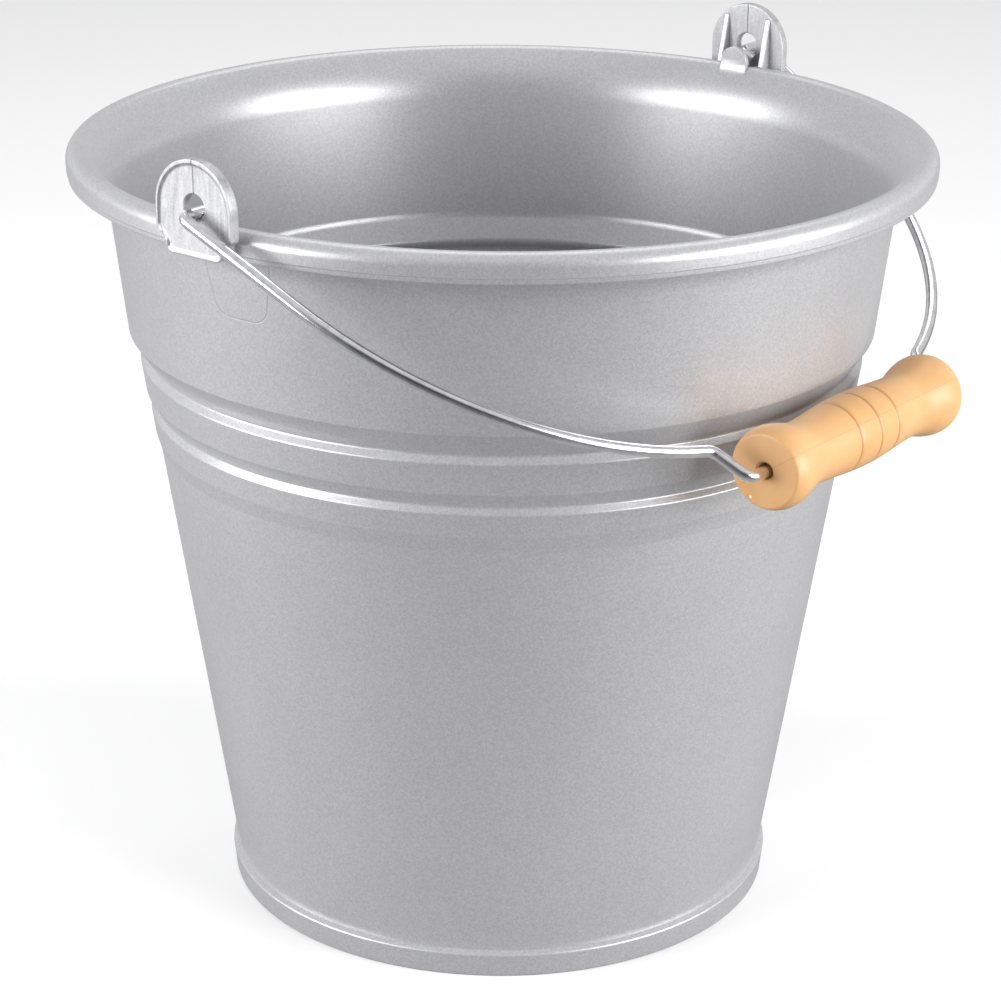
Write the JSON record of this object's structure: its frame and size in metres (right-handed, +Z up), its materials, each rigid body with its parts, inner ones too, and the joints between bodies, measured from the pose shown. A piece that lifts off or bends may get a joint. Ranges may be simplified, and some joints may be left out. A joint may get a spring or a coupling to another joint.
{
  "type": "bucket",
  "caption": "Tapered silver plastic bucket with stepped collar, raised bands, rolled rim and ears, swinging wire bail and free-spinning turned grip.",
  "frame": {"origin": "centre of the foot ring on the floor", "axes": "+Z up along the bucket's axis; X runs through both ears, along the line the bail swings about; the bail leans down towards -Y"},
  "size_m": [0.323, 0.3087, 0.2965],
  "materials": {
    "silver_plastic": "satin moulded plastic with fine metallic flake",
    "plated_wire": "bright zinc-plated drawn wire",
    "tan_plastic": "satin moulded plastic in the colour of pale wood"
  },
  "bodies": {
    "body": {"bucket": "silver_plastic"},
    "bail": {"bail_wire": "plated_wire"},
    "handle": {"grip": "tan_plastic"}
  },
  "joints": [
    {"name": "bail_swing", "type": "hinge", "parent": "body", "child": "bail", "pos_m": [0, 0, 0.27925], "axis": [-1, 0, 0], "range_deg": [-4, 242.2]},
    {"name": "grip_spin", "type": "hinge", "parent": "bail", "child": "handle", "pos_m": [0, -0.1447, 0.19871], "axis": [1, 0, 0], "continuous": true}
  ]
}
